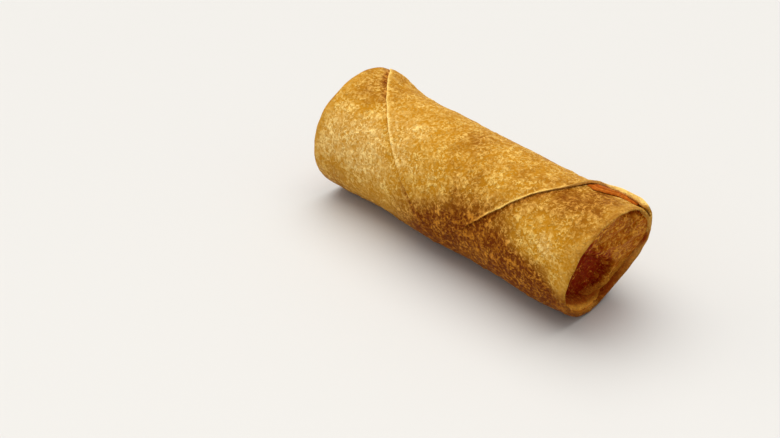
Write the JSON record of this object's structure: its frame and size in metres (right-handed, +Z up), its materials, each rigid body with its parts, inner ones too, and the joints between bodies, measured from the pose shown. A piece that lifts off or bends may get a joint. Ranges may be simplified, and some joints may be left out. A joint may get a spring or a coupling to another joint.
{
  "type": "spring roll",
  "caption": "Whole fried spring roll lying on its side, with the wrapper's last corner as a slanting flap over the front and a tucked hollow at each end.",
  "frame": {"origin": "on the surface that the roll rests on, under the middle of its length and width", "axes": "+X along the roll towards the end with the lifted flap corner, -Y towards the flap's tip, +Z up"},
  "size_m": [0.1272, 0.0439, 0.0431],
  "materials": {
    "fried_wrapper": "golden ochre fried dough, blistered, with a thin film of oil"
  },
  "bodies": {
    "root": {"spring_roll": "fried_wrapper"}
  },
  "joints": []
}
